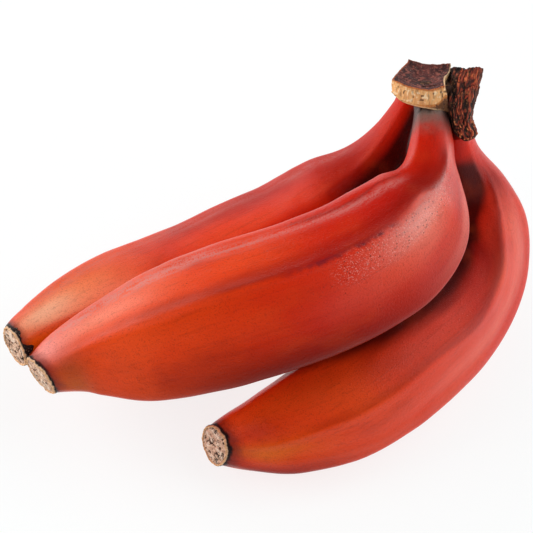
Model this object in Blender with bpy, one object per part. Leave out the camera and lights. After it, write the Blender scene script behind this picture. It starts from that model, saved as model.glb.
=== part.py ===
"""A hand of three red bananas joined at the crown, lying on a flat surface as it was picked.

Each banana is a tube swept along a bent axis. The axis starts at the crown, runs down the stalk and
bends towards a lean direction by the angles in bend, while sweep carries it sideways out of that bend.
Its section is a soft pentagon with five ridges. The crown is one woody block lofted through a stack of
outlines, with a socket for each stalk.

Metres, +Z up. The origin is under the middle of the hand, on the surface that it lies on.
"""

import bpy
import numpy as np

MM = 0.001
GAP = 0.3

# Where each value of bend, sweep and radius holds, from 0 at the crown to 1 at the blossom end.
BEND_AT = (0.0, 0.10, 0.22, 0.36, 0.52, 0.70, 0.86, 1.0)
SWEEP_AT = (0.0, 0.25, 0.50, 0.75, 1.0)
RADIUS_AT = (0.0, 0.07, 0.14, 0.22, 0.30, 0.40, 0.52, 0.66, 0.78, 0.87, 0.93, 0.975, 1.0)

# The radius that the three share, from the stalk over the belly to the blossom scar, in millimetres.
RADIUS = (5.25, 7.25, 10.0, 17.0, 19.75, 20.5, 20.75, 20.5, 18.25, 14.0, 10.75, 8.25, 7.25)

# Lengths in millimetres and angles in degrees. root is where the stalk leaves the crown, stalk is the way
# it leaves, lean is the way it bends, length is that of its axis, girth multiplies its radius, stub is how
# much of the stalk is sunk in the crown, and ridges are its ridges' angles from the outside of the bend.
BANANAS = {
    "banana_middle": {
        "root": (37.6, 42.2, 83.1),
        "stalk": (0.21, -0.86, -0.47),
        "lean": (-0.97, -0.24, -0.01),
        "length": 168.0,
        "girth": 1.03,
        "stub": 4.0,
        "bend": (0, 7, 37, 59, 72, 75, 77, 64),
        "sweep": (0, -6, 0, 9, 4),
        "ridges": (24, 95, 158, 229, 300),
        "colour": (0.56, 0.07, 0.03),
    },
    "banana_rear": {
        "root": (31.1, 55.2, 70.6),
        "stalk": (-0.23, -0.37, -0.90),
        "lean": (-0.86, -0.35, 0.37),
        "length": 177.0,
        "girth": 0.87,
        "stub": 8.0,
        "bend": (0, 10, 23, 47, 58, 81, 84, 75),
        "sweep": (0, 5, -8, -23, -31),
        "ridges": (0, 72, 145, 215, 288),
        "colour": (0.52, 0.08, 0.03),
    },
    "banana_front": {
        "root": (48.1, 41.2, 74.6),
        "stalk": (0.27, 0.02, -0.96),
        "lean": (-0.41, -0.90, -0.14),
        "length": 174.0,
        "girth": 1.05,
        "stub": 1.0,
        "bend": (0, -5, 26, 78, 103, 93, 102, 98),
        "sweep": (0, -13, 4, 24, 46),
        "ridges": (62, 126, 196, 265, 333),
        "colour": (0.50, 0.06, 0.03),
    },
}
AXIS_STEPS = 192
RINGS = 48
SIDES = 24
PEEL_ROUGHNESS = 0.35

# A ridge stands this share of the radius above the flats beside it, and this much of it is rounded off.
RIDGE_HEIGHT = 0.04
RIDGE_ROUNDING = 0.35

# The crown's own frame: across the hand, out over the front stalk, and up towards the cut.
CROWN_CENTRE = (38.9, 46.2, 76.1)
CROWN_ACROSS = (0.99, 0.10, 0.05)
CROWN_UP = (-0.10, 0.46, 0.88)

# The crown's outlines from the tip that hangs in front of the right-hand stalk, up to the cut. Each is
# (height, middle across, middle out, half width, half depth, shift of the front, rise per millimetre out).
CROWN_OUTLINES = (
    (-2.6, 11.4, 9.8, 1.9, 3.2, 0.0, 0.0),
    (-1.0, 10.7, 8.0, 3.9, 5.9, 0.0, 0.0),
    (1.5, 9.0, 5.0, 5.2, 9.0, 0.0, 0.0),
    (4.5, 4.6, -2.5, 9.4, 12.4, 0.0, 0.0),
    (8.0, 1.1, -0.5, 13.0, 12.8, 0.0, 0.0),
    (12.0, 0.3, 0.3, 14.1, 12.4, -1.0, -0.10),
    (15.9, 1.3, 2.5, 13.2, 9.8, -2.2, -0.21),
)
CROWN_SIDES = 36
CROWN_SQUARENESS = 3.6
CROWN_COLOUR = (0.16, 0.07, 0.05)
CROWN_ROUGHNESS = 0.9

# An edge that turns by more than this many degrees stays crisp; the rest is shaded smooth.
CRISP_EDGE = 50


def unit(vector):
    """The vector at length 1."""
    vector = np.asarray(vector, float)
    return vector / np.linalg.norm(vector)


def smooth(at, stations, values):
    """A smooth curve through the values at their stations, read at each of at."""
    stations = np.asarray(stations, float)
    values = np.asarray(values, float)
    slopes = np.gradient(values, stations)
    left = np.clip(np.searchsorted(stations, at, "right") - 1, 0, len(stations) - 2)
    span = stations[left + 1] - stations[left]
    t = (at - stations[left]) / span
    from_left = (2 * t**3 - 3 * t**2 + 1) * values[left] + (t**3 - 2 * t**2 + t) * span * slopes[left]
    from_right = (3 * t**2 - 2 * t**3) * values[left + 1] + (t**3 - t**2) * span * slopes[left + 1]
    return from_left + from_right


def banana_axis(banana):
    """Points along a banana's axis, with its forward, outside and sideways directions at each."""
    along = np.linspace(0.0, 1.0, AXIS_STEPS + 1)
    bend = np.radians(smooth(along, BEND_AT, banana["bend"]))[:, None]
    sweep = np.radians(smooth(along, SWEEP_AT, banana["sweep"]))[:, None]
    stalk = unit(banana["stalk"])
    lean = unit(banana["lean"] - stalk * np.dot(banana["lean"], stalk))
    forward = np.cos(sweep) * (np.cos(bend) * stalk + np.sin(bend) * lean)
    forward += np.sin(sweep) * np.cross(stalk, lean)
    steps = (forward[1:] + forward[:-1]) / 2 * banana["length"] / AXIS_STEPS
    points = np.vstack([np.zeros(3), np.cumsum(steps, axis=0)]) + banana["root"]
    outside = np.sin(bend) * stalk - np.cos(bend) * lean
    return along, points, forward, outside, np.cross(forward, outside)


def ridge_section(angles, ridges):
    """The radius about the axis, as a share of the mean one, with five ridges and a flat between each two."""
    first = ridges[0]
    corners = np.append(ridges, first + 360) - first
    flat = np.interp((angles - first) % 360, corners, np.arange(len(corners)))
    dip = np.hypot(np.sin(np.pi * flat), RIDGE_ROUNDING) - RIDGE_ROUNDING
    deepest = np.hypot(1, RIDGE_ROUNDING) - RIDGE_ROUNDING
    return 1 + RIDGE_HEIGHT * (0.5 - dip / deepest)


def banana_rings(banana, grow=0.0):
    """Rings of points round a banana, from inside the crown to the blossom scar, grown by this much."""
    along, points, forward, outside, side = banana_axis(banana)
    picked = np.round(np.linspace(0, AXIS_STEPS, RINGS)).astype(int)
    radius = smooth(along[picked], RADIUS_AT, RADIUS) * banana["girth"] + grow
    degrees = np.arange(SIDES) * 360 / SIDES
    section = ridge_section(degrees, np.array(banana["ridges"]))
    turn = np.radians(degrees)
    round_axis = (
        np.cos(turn)[None, :, None] * outside[picked][:, None, :]
        + np.sin(turn)[None, :, None] * side[picked][:, None, :]
    )
    rings = points[picked][:, None, :] + round_axis * (radius[:, None] * section)[:, :, None]
    sunk = rings[:1] - (banana["stub"] + grow) * forward[0]
    return np.concatenate([sunk, rings]) if banana["stub"] + grow > 0 else rings


def crown_rings():
    """Rings of points round the crown, from its hanging tip to the cut, each a squared-off ellipse."""
    up = unit(CROWN_UP)
    across = unit(CROWN_ACROSS - up * np.dot(CROWN_ACROSS, up))
    out = np.cross(across, up)
    turn = np.arange(CROWN_SIDES) * 2 * np.pi / CROWN_SIDES
    blunt = (np.abs(np.cos(turn)) ** CROWN_SQUARENESS + np.abs(np.sin(turn)) ** CROWN_SQUARENESS) ** (
        -1 / CROWN_SQUARENESS
    )
    rings = []
    for height, middle_across, middle_out, half_width, half_depth, shift, rise in CROWN_OUTLINES:
        sideways = middle_across + blunt * (half_width * np.cos(turn) - shift * np.sin(turn))
        outwards = middle_out - half_depth * blunt * np.sin(turn)
        upwards = height + rise * outwards
        ring = sideways[:, None] * across + outwards[:, None] * out + upwards[:, None] * up
        rings.append(ring + CROWN_CENTRE)
    return np.array(rings)


def solid_from_rings(name, rings):
    """A closed object skinned over the rings, with a flat cap on the first and the last."""
    count, sides = rings.shape[:2]
    corner = np.arange(count * sides).reshape(count, sides)
    faces = [tuple(corner[0][::-1]), tuple(corner[-1])]
    for low, high in zip(corner[:-1], corner[1:]):
        faces += zip(low, np.roll(low, -1), np.roll(high, -1), high)
    mesh = bpy.data.meshes.new(name)
    mesh.from_pydata((rings.reshape(-1, 3) * MM).tolist(), [], [tuple(map(int, face)) for face in faces])
    mesh.shade_smooth()
    mesh.set_sharp_from_angle(angle=np.radians(CRISP_EDGE))
    thing = bpy.data.objects.new(name, mesh)
    bpy.context.scene.collection.objects.link(thing)
    return thing


def finish(name, colour, roughness):
    """A plain material in the piece's colour."""
    material = bpy.data.materials.new(name)
    material.use_nodes = True
    shader = material.node_tree.nodes["Principled BSDF"]
    shader.inputs["Base Color"].default_value = (*colour, 1.0)
    shader.inputs["Roughness"].default_value = roughness
    shader.inputs["Metallic"].default_value = 0.0
    return material


def cut_socket(crown, name, banana):
    """Hollows the crown round a banana's stalk, a gap wider than the stalk all round."""
    cutter = solid_from_rings(f"{name}_socket", banana_rings(banana, grow=GAP))
    cutter.hide_render = True
    cutter.display_type = "WIRE"
    cut = crown.modifiers.new(cutter.name, "BOOLEAN")
    cut.operation = "DIFFERENCE"
    cut.object = cutter


def main():
    for old in list(bpy.data.objects):
        bpy.data.objects.remove(old)
    crown = solid_from_rings("crown", crown_rings())
    crown.data.materials.append(finish("crown", CROWN_COLOUR, CROWN_ROUGHNESS))
    for name, banana in BANANAS.items():
        fruit = solid_from_rings(name, banana_rings(banana))
        fruit.data.materials.append(finish(name, banana["colour"], PEEL_ROUGHNESS))
        cut_socket(crown, name, banana)


main()
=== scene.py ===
"""A short hand of three red bananas: their peels, blossom scars and the woody crown that joins them.

Every shape is a numpy surface. A fruit is a ridged section carried along a bent axis, a scar is a rough
disc, and the crown is a set of outlines stacked along its own upright. Lengths in the pieces' fields are in
millimetres and angles in degrees, and a mesh is put into metres when it is made. Colours are from 0 to 255.
"""

import logging
import math
from dataclasses import dataclass, field
from enum import Enum, IntEnum

import bpy
import numpy as np
from mathutils import Matrix, Vector

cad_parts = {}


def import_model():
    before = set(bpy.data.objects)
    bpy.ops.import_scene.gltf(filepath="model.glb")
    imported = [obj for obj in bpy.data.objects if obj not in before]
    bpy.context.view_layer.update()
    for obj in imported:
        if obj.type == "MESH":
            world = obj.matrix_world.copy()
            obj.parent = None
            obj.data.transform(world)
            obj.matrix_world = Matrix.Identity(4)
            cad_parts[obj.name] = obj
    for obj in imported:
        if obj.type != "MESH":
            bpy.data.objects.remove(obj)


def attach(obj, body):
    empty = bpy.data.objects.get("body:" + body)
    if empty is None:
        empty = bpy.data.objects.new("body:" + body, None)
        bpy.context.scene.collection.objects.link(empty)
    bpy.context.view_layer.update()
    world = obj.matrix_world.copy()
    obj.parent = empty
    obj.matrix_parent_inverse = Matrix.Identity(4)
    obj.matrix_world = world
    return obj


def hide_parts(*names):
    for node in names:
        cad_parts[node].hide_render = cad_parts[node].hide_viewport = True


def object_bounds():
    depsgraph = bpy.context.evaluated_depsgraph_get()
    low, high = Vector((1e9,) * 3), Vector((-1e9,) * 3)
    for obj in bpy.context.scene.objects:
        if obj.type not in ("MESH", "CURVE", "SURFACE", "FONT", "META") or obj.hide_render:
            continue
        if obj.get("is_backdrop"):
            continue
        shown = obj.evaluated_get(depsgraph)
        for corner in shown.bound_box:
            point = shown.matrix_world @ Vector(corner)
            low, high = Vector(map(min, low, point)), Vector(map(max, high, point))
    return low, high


MM = 0.001
BODY = "root"

# A cap's last ring stops this share of the way to its middle, and a fan of faces closes the rest.
CAP_REACH = 0.97

log = logging.getLogger("red_bananas")

Array = np.ndarray
Socket = bpy.types.NodeSocket


# ----------------------------------------------------------------------------------------------- numbers


def unit(vector: Array) -> Array:
    """The vector, or each vector of an array, at length 1."""
    vector = np.asarray(vector, float)
    return vector / np.linalg.norm(vector, axis=-1, keepdims=True)


def smooth(at: Array, stations: tuple, values: tuple) -> Array:
    """A smooth curve through values given at stations: a cubic between each two, with shared slopes.

    Args:
        at: where the curve is read.
        stations: where the values hold, rising.
        values: the values there.

    Returns:
        The curve at each of at.
    """
    x, y = np.asarray(stations, float), np.asarray(values, float)
    slopes = np.gradient(y, x)
    left = np.clip(np.searchsorted(x, at, "right") - 1, 0, len(x) - 2)
    span = x[left + 1] - x[left]
    t = (at - x[left]) / span
    start = (2 * t**3 - 3 * t**2 + 1) * y[left] + (t**3 - 2 * t**2 + t) * span * slopes[left]
    end = (3 * t**2 - 2 * t**3) * y[left + 1] + (t**3 - t**2) * span * slopes[left + 1]
    return start + end


def held(at: Array, stations: tuple, values: tuple) -> Array:
    """The smooth curve through values at stations, kept at its first and last value outside them."""
    return smooth(np.clip(at, stations[0], stations[-1]), stations, values)


def ease(at: Array, low: float, high: float) -> Array:
    """0 below low, 1 above high, and an S-shaped rise between."""
    t = np.clip((at - low) / (high - low), 0.0, 1.0)
    return t * t * (3.0 - 2.0 * t)


def hill(at: Array, centre: float, width: float) -> Array:
    """A bell of height 1 at centre that falls to about a third one width away."""
    return np.exp(-(((at - centre) / width) ** 2))


def turn_between(angles: Array, other: Array) -> Array:
    """How far each angle is past the other, from -180 to 180 degrees."""
    return (angles - other + 180.0) % 360.0 - 180.0


def round_turn(sides: int) -> Array:
    """The angles of so many places round a ring, in radians and in one row."""
    return np.arange(sides)[None, :] * 2 * np.pi / sides


def squared_off(turn: Array, power: float) -> Array:
    """The radius of a circle swollen towards a square, the nearer to it the higher the power."""
    return (np.abs(np.cos(turn)) ** power + np.abs(np.sin(turn)) ** power) ** (-1 / power)


def lattice(cells: Array, seed: int) -> Array:
    """Random numbers for the cells of a grid: each cell's place is multiplied, added up and scrambled.

    Args:
        cells: the cells' whole-numbered places, as (..., 3).
        seed: which random grid.

    Returns:
        A number from -1 to 1 for each cell, always the same for the same cell and seed.
    """
    mixed = cells[..., 0] * 374761393 + cells[..., 1] * 668265263 + cells[..., 2] * 1442695041
    mixed = mixed + seed * 1013904223
    mixed = (mixed ^ (mixed >> 13)) * 1274126177
    return ((mixed ^ (mixed >> 16)) & 0xFFFF) / 32767.5 - 1.0


def noise(points: Array, seed: int, octaves: int = 1) -> Array:
    """Soft random hills: random numbers on a grid, blended between the eight corners of each cell.

    Args:
        points: where it is read, in units of the grid's cell.
        seed: which random grid.
        octaves: how many times finer, fainter hills are added on top.

    Returns:
        A number from about -1 to 1 for each point.
    """
    total = np.zeros(points.shape[:-1])
    size = 1.0
    for octave in range(octaves):
        base = np.floor(points / size).astype(np.int64)
        part = points / size - base
        part = part * part * (3.0 - 2.0 * part)
        for corner in np.ndindex(2, 2, 2):
            share = np.prod(np.where(corner, part, 1.0 - part), axis=-1)
            total += size * share * lattice(base + corner, seed + 17 * octave)
        size /= 2.0
    return total


def light_of(colour: tuple) -> Array:
    """The light that a colour sends back, from 0 to 1."""
    value = np.array(colour) / 255.0
    return np.where(value <= 0.04045, value / 12.92, ((value + 0.055) / 1.055) ** 2.4)


def coats(under: Array, *over: tuple[tuple, Array]) -> Array:
    """Lays colours over each point's light, one after the other.

    Args:
        under: the light under them, the same for all points or one for each.
        over: each colour in turn, with its share for each point.

    Returns:
        The light of each point.
    """
    for colour, share in over:
        share = np.clip(share, 0.0, 1.0)[..., None]
        under = under * (1.0 - share) + light_of(colour) * share
    return under


# ------------------------------------------------------------------------------------------------ meshes


class Paint(Enum):
    """What a mesh carries at each of its points for its finish to read."""

    TINT = "tint"
    GROWN = "grown"
    BLOOM = "bloom_and_sheen"
    WEAR = "wear_and_glints"


def skin_over(name: str, rings: Array, painted: dict[Paint, Array]) -> bpy.types.Object:
    """A closed mesh over stacked rings: quads between each two, and a fan to the middle of each end ring.

    Args:
        name: the object's name.
        rings: points in millimetres, as (ring, place round the ring, 3).
        painted: for each kind of paint, one value or vector for each point, shaped like the rings.

    Returns:
        The new object, at the origin, smooth shaded, its faces outwards.
    """
    count, sides = rings.shape[:2]
    points = np.vstack([rings.reshape(-1, 3), rings[0].mean(0), rings[-1].mean(0)]) * MM
    grid = np.arange(count * sides).reshape(count, sides)
    low, high = grid[:-1], grid[1:]
    quads = np.stack([low, np.roll(low, -1, 1), np.roll(high, -1, 1), high], -1).reshape(-1, 4)
    first, last = np.full(sides, count * sides), np.full(sides, count * sides + 1)
    fans = np.vstack(
        [
            np.stack([np.roll(grid[0], -1), grid[0], first], -1),
            np.stack([grid[-1], np.roll(grid[-1], -1), last], -1),
        ]
    )
    # The volume that the quads shut in is negative if they face inwards, and then all faces are turned.
    a, b, c = (points[quads[:, k]] for k in (0, 1, 2))
    if np.einsum("ij,ij->i", a, np.cross(b, c)).sum() < 0:
        quads, fans = quads[:, ::-1], fans[:, ::-1]
    corners = np.concatenate([quads.ravel(), fans.ravel()]).astype(np.int32)
    starts = np.concatenate([np.arange(len(quads)) * 4, len(quads) * 4 + np.arange(len(fans)) * 3])

    mesh = bpy.data.meshes.new(name)
    mesh.vertices.add(len(points))
    mesh.vertices.foreach_set("co", points.ravel())
    mesh.loops.add(len(corners))
    mesh.loops.foreach_set("vertex_index", corners)
    mesh.polygons.add(len(starts))
    mesh.polygons.foreach_set("loop_start", starts.astype(np.int32))
    mesh.update(calc_edges=True)
    mesh.validate()
    mesh.shade_smooth()
    for kind, values in painted.items():
        paint_on(mesh, kind, values)
    thing = bpy.data.objects.new(name, mesh)
    bpy.context.scene.collection.objects.link(thing)
    return thing


def paint_on(mesh: bpy.types.Mesh, kind: Paint, values: Array) -> None:
    """Stores one kind of paint at a mesh's points, the two end points taking their ring's mean.

    Args:
        mesh: a mesh made by skin_over.
        kind: which paint.
        values: one for each point of the mesh's rings, or three for each for a colour or a place.
    """
    wide = kind in (Paint.TINT, Paint.GROWN)
    flat = values.reshape(-1, 3) if wide else values.reshape(-1, 1)
    ends = [flat[: values.shape[1]].mean(0), flat[-values.shape[1] :].mean(0)]
    flat = np.vstack([flat, *ends])
    if kind is Paint.TINT:
        layer = mesh.color_attributes.new(kind.value, "FLOAT_COLOR", "POINT")
        layer.data.foreach_set("color", np.hstack([flat, np.ones((len(flat), 1))]).ravel())
    elif kind is Paint.GROWN:
        layer = mesh.attributes.new(kind.value, "FLOAT_VECTOR", "POINT")
        layer.data.foreach_set("vector", (flat * MM).ravel())
    else:
        layer = mesh.attributes.new(kind.value, "FLOAT", "POINT")
        layer.data.foreach_set("value", flat.ravel())


# ---------------------------------------------------------------------------------------------- finishes


class Nodes:
    """A material's node tree, with short ways to add and join what the finishes need."""

    def __init__(self, name: str) -> None:
        """Starts a material with only its shader and its output.

        Args:
            name: the material's name.
        """
        self.material = bpy.data.materials.new(name)
        self.material.use_nodes = True
        self.tree = self.material.node_tree
        self.shader = self.tree.nodes["Principled BSDF"]

    def add(self, kind: str, inputs: dict | None = None, **settings: object) -> bpy.types.Node:
        """Adds a node.

        Args:
            kind: the node's type without its ShaderNode prefix.
            inputs: for a socket's name or number, a plain value or another node's output.
            settings: the node's own properties.

        Returns:
            The new node.
        """
        node = self.tree.nodes.new("ShaderNode" + kind)
        for key, value in settings.items():
            setattr(node, key, value)
        for key, value in (inputs or {}).items():
            self.join(value, node.inputs[key])
        return node

    def join(self, value: object, socket: Socket) -> None:
        """Links an output to a socket, or sets a plain value on it.

        Args:
            value: a node's output, or a value of the kind that the socket takes.
            socket: the input that takes it.
        """
        if isinstance(value, Socket):
            self.tree.links.new(value, socket)
        else:
            socket.default_value = value

    def painted(self, kind: Paint) -> Socket:
        """The output that reads one kind of paint."""
        outputs = {Paint.TINT: "Color", Paint.GROWN: "Vector"}
        return self.add("Attribute", attribute_name=kind.value).outputs[outputs.get(kind, "Fac")]

    def stretched(self, place: Socket, scale: tuple) -> Socket:
        """A place with each of its three axes scaled, so that a pattern on it is drawn out."""
        return self.add("Mapping", {"Vector": place, "Scale": scale}).outputs["Vector"]

    def grain(self, place: Socket, scale: float, detail: float = 3.0) -> Socket:
        """Cloudy noise from 0 to 1, with so many hills to the metre."""
        return self.add("TexNoise", {"Vector": place, "Scale": scale, "Detail": detail}).outputs["Fac"]

    def spots(self, place: Socket, scale: float, size: float) -> Socket:
        """Small round spots, one to a cell, that are 1 in the middle and 0 outside their size."""
        cells = self.add("TexVoronoi", {"Vector": place, "Scale": scale})
        return self.ramp(cells.outputs["Distance"], size, 0.0)

    def ramp(self, value: Socket, low: float, high: float) -> Socket:
        """Maps a range of values to 0 to 1, smoothly.

        Args:
            value: what is read.
            low: where the result is 0, and beyond.
            high: where it is 1, and beyond. It may be the lower of the two.

        Returns:
            The result.
        """
        inputs = {"Value": value, "From Min": low, "From Max": high}
        if low > high:
            inputs |= {"From Min": high, "From Max": low, "To Min": 1.0, "To Max": 0.0}
        return self.add("MapRange", inputs, interpolation_type="SMOOTHSTEP").outputs["Result"]

    def math(self, operation: str, a: object, b: object = 0.0, c: object = 0.0) -> Socket:
        """One step of arithmetic on two values, or on three where the operation takes them."""
        return self.add("Math", {0: a, 1: b, 2: c}, operation=operation).outputs[0]

    def times(self, a: object, b: object) -> Socket:
        """Two values multiplied."""
        return self.math("MULTIPLY", a, b)

    def coat(self, under: object, colour: tuple, share: object) -> Socket:
        """Lays a colour over what is under it.

        Args:
            under: the colour output under it.
            colour: the new colour.
            share: how much of it shows, from 0 to 1.

        Returns:
            The blended colour.
        """
        node = self.add("Mix", data_type="RGBA")
        over = (*map(float, light_of(colour)), 1.0)
        for value, socket in ((share, node.inputs[0]), (under, node.inputs[6]), (over, node.inputs[7])):
            self.join(value, socket)
        return node.outputs[2]

    def bump(self, height: object, depth: float, under: object = None) -> Socket:
        """A bumpy normal.

        Args:
            height: the height of the bumps, from 0 to 1.
            depth: how deep 1 is, in millimetres.
            under: another bump that this one lies on.

        Returns:
            The normal.
        """
        inputs = {"Height": height, "Distance": depth * MM, "Strength": 1.0}
        if under is not None:
            inputs["Normal"] = under
        return self.add("Bump", inputs).outputs["Normal"]

    def finish(self, colour: object, roughness: object, normal: object, shine: float) -> bpy.types.Material:
        """Joins what has been worked out to the shader.

        Args:
            colour: the last colour.
            roughness: the last roughness.
            normal: the last bump.
            shine: the specular level.

        Returns:
            The finished material.
        """
        for key, value in (("Base Color", colour), ("Roughness", roughness), ("Normal", normal)):
            self.join(value, self.shader.inputs[key])
        self.shader.inputs["Specular IOR Level"].default_value = shine
        return self.material


@dataclass(frozen=True)
class PeelFinish:
    """A waxy satin peel: clouded red, fibres, grit, specks, bloom with painted sheen, and where worn pits
    and painted glints.
    """

    name: str = "peel"
    roughness: float = 0.22
    shine: float = 0.18
    cloud: tuple = (128, 10, 4)
    glow: tuple = (240, 92, 40)
    grit: tuple = (120, 12, 6)
    thread: tuple = (90, 8, 6)
    speck: tuple = (70, 22, 12)
    painted_glint: tuple = (255, 204, 192)
    bloom_and_sheen: tuple = (216, 158, 152)
    fibre_run: float = 0.035
    cloud_run: float = 0.5
    fibre_depth: float = 0.04
    sand_depth: float = 0.13
    pore_depth: float = 0.14

    def material(self) -> bpy.types.Material:
        """Builds the material from the tint with its painted light and shade, the place along the grown
        fruit, the bloom and sheen, and the wear and glints.
        """
        n = Nodes(self.name)
        grown, tint = n.painted(Paint.GROWN), n.painted(Paint.TINT)
        bloom_and_sheen, wear_and_glints = n.painted(Paint.BLOOM), n.painted(Paint.WEAR)
        fibres = n.grain(n.stretched(grown, (1.0, 1.0, self.fibre_run)), 900.0, 4.0)
        clouds = n.grain(n.stretched(grown, (1.0, 1.0, self.cloud_run)), 110.0, 5.0)
        sand = n.grain(grown, 2200.0, 2.0)

        colour = n.coat(tint, self.cloud, n.times(n.ramp(clouds, 0.5, 0.8), 0.28))
        colour = n.coat(colour, self.glow, n.times(n.ramp(clouds, 0.5, 0.2), 0.16))
        colour = n.coat(colour, self.grit, n.times(n.ramp(sand, 0.5, 0.75), 0.32))
        colour = n.coat(colour, self.thread, n.times(n.ramp(fibres, 0.52, 0.75), 0.16))
        # The pale bloom, partly a painted sheen along the crests.
        uneven = n.math("ADD", fibres, n.math("SUBTRACT", sand, 0.5))
        colour = n.coat(colour, self.bloom_and_sheen, n.times(bloom_and_sheen, n.ramp(uneven, 0.2, 0.7)))
        few = n.ramp(n.grain(grown, 160.0, 1.0), 0.5, 0.7)
        specks = n.times(n.spots(grown, 420.0, 0.13), few)
        pits = n.times(n.spots(grown, 800.0, 0.3), n.ramp(wear_and_glints, 0.62, 1.0))
        marks = n.math("MAXIMUM", n.times(specks, 0.75), n.times(pits, 0.8))
        colour = n.coat(colour, self.speck, marks)
        # Painted glints: pale specks of highlight on the worn patches.
        grains = n.ramp(n.grain(grown, 2600.0, 2.0), 0.55, 0.68)
        colour = n.coat(colour, self.painted_glint, n.times(grains, n.times(n.ramp(wear_and_glints, 0.4, 1.1), 0.36)))

        rough = n.math("MULTIPLY_ADD", sand, 0.2, self.roughness)
        rough = n.math("ADD", rough, n.times(bloom_and_sheen, 0.2))
        normal = n.bump(fibres, self.fibre_depth)
        normal = n.bump(sand, self.sand_depth, normal)
        normal = n.bump(n.times(n.spots(grown, 900.0, 0.3), wear_and_glints), -self.pore_depth, normal)
        return n.finish(colour, rough, normal, self.shine)


@dataclass(frozen=True)
class WoodyFinish:
    """Dry plant tissue: its painted tint broken up by fibres, dark cracks and pale crumbs."""

    name: str
    crack: tuple
    crumb: tuple
    crumbs: float
    cracks: float
    roughness: float = 0.92
    shine: float = 0.35
    depth: float = 0.25
    run: tuple = (1.0, 1.0, 0.25)

    def material(self) -> bpy.types.Material:
        """Builds the material from the tint and the place on the piece.

        Returns:
            The material.
        """
        n = Nodes(self.name)
        tint, grown = n.painted(Paint.TINT), n.painted(Paint.GROWN)
        fibres = n.grain(n.stretched(grown, self.run), 900.0, 5.0)
        grit = n.grain(grown, 1800.0, 4.0)
        colour = n.coat(tint, self.crack, n.times(n.ramp(fibres, 0.5, 0.3), self.cracks))
        colour = n.coat(colour, self.crumb, n.times(n.ramp(grit, 0.58, 0.74), self.crumbs))
        rough = n.math("MULTIPLY_ADD", grit, -0.2, self.roughness)
        normal = n.bump(fibres, self.depth)
        normal = n.bump(grit, self.depth / 2, normal)
        return n.finish(colour, rough, normal, self.shine)


# --------------------------------------------------------------------------------------------- the fruit


@dataclass(frozen=True)
class Ridge:
    """A ridge along a fruit: its angle about the axis at its stations, and how far it stands proud."""

    angles: tuple
    crest: float = 0.0
    stations: tuple = (0.1, 0.5, 0.7, 0.95)

    def at(self, along: Array) -> Array:
        """The ridge's angle at each place along the fruit."""
        return held(along, self.stations, self.angles)


def straight(*angles: float) -> list[Ridge]:
    """Plain ridges that keep their angles all along a fruit."""
    return [Ridge((angle,) * 4) for angle in angles]


@dataclass(frozen=True)
class Spot:
    """A soft-edged part of the peel: its middle along and round the fruit, and its reach each way."""

    along: float
    around: float
    length: float
    width: float

    def near(self, along: Array, around: Array) -> Array:
        """1 in its middle, falling to 0: a bell along the fruit times a bell round it."""
        off = turn_between(around, self.around)
        return hill(along, self.along, self.length) * hill(off, 0.0, self.width)


@dataclass(frozen=True)
class Swell(Spot):
    """A soft swelling or, with a negative height, a hollow in the peel."""

    height: float

    def over(self, along: Array, around: Array) -> Array:
        """Its height at each place."""
        return self.height * self.near(along, around)


@dataclass(frozen=True)
class TintAndPaintedLight(Spot):
    """A soft-edged patch of another colour on the peel: some are its own tint, others painted highlight and
    painted shade.
    """

    colour: tuple[int, int, int]
    share: float

    def over(self, tint: Array, along: Array, around: Array) -> Array:
        """The tint with this patch laid over it."""
        return coats(tint, (self.colour, self.share * self.near(along, around)))


@dataclass(frozen=True)
class Shade:
    """A side of the fruit painted darker, from one angle round to another: painted shade where a neighbour
    hides it and where a facet turns from the light.
    """

    stations: tuple
    low: tuple
    high: tuple
    share: float = 0.94
    colour: tuple[int, int, int] = (40, 3, 3)
    soft: tuple[float, float] = (9.0, 9.0)

    FADE = 0.04

    def over(self, tint: Array, along: Array, around: Array) -> Array:
        """Lays the shaded side over the tint, softly at its two edges and its two ends.

        Args:
            tint: the light of each point.
            along: each point's place along the fruit.
            around: its angle.

        Returns:
            The shaded tint.
        """
        start, end = self.stations[0], self.stations[-1]
        past_low = turn_between(around, held(along, self.stations, self.low))
        past_high = turn_between(around, held(along, self.stations, self.high))
        share = ease(past_low, -self.soft[0], self.soft[0])
        share = share * (1.0 - ease(past_high, -self.soft[1], self.soft[1]))
        share = share * ease(along, start - self.FADE, start)
        share = share * (1.0 - ease(along, end - self.FADE, end + self.FADE))
        return coats(tint, (self.colour, self.share * share))


@dataclass(frozen=True)
class Dust:
    """A stripe along the peel, at its stations' angles like a ridge: pale bloom with painted sheen, worn
    pores with painted glints, or a crease.
    """

    angles: tuple
    width: float
    start: float
    end: float
    share: float
    stations: tuple = (0.1, 0.5, 0.7, 0.95)

    FADE = 0.08

    def over(self, along: Array, around: Array) -> Array:
        """Its strength: a bell across the stripe that fades in after its start and out before its end.

        Args:
            along: each point's place along the fruit.
            around: its angle.

        Returns:
            The strength at each point.
        """
        off = turn_between(around, held(along, self.stations, self.angles))
        run = ease(along, self.start, self.start + self.FADE)
        run = run * (1.0 - ease(along, self.end - self.FADE, self.end))
        return self.share * run * hill(off, 0.0, self.width)


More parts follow.
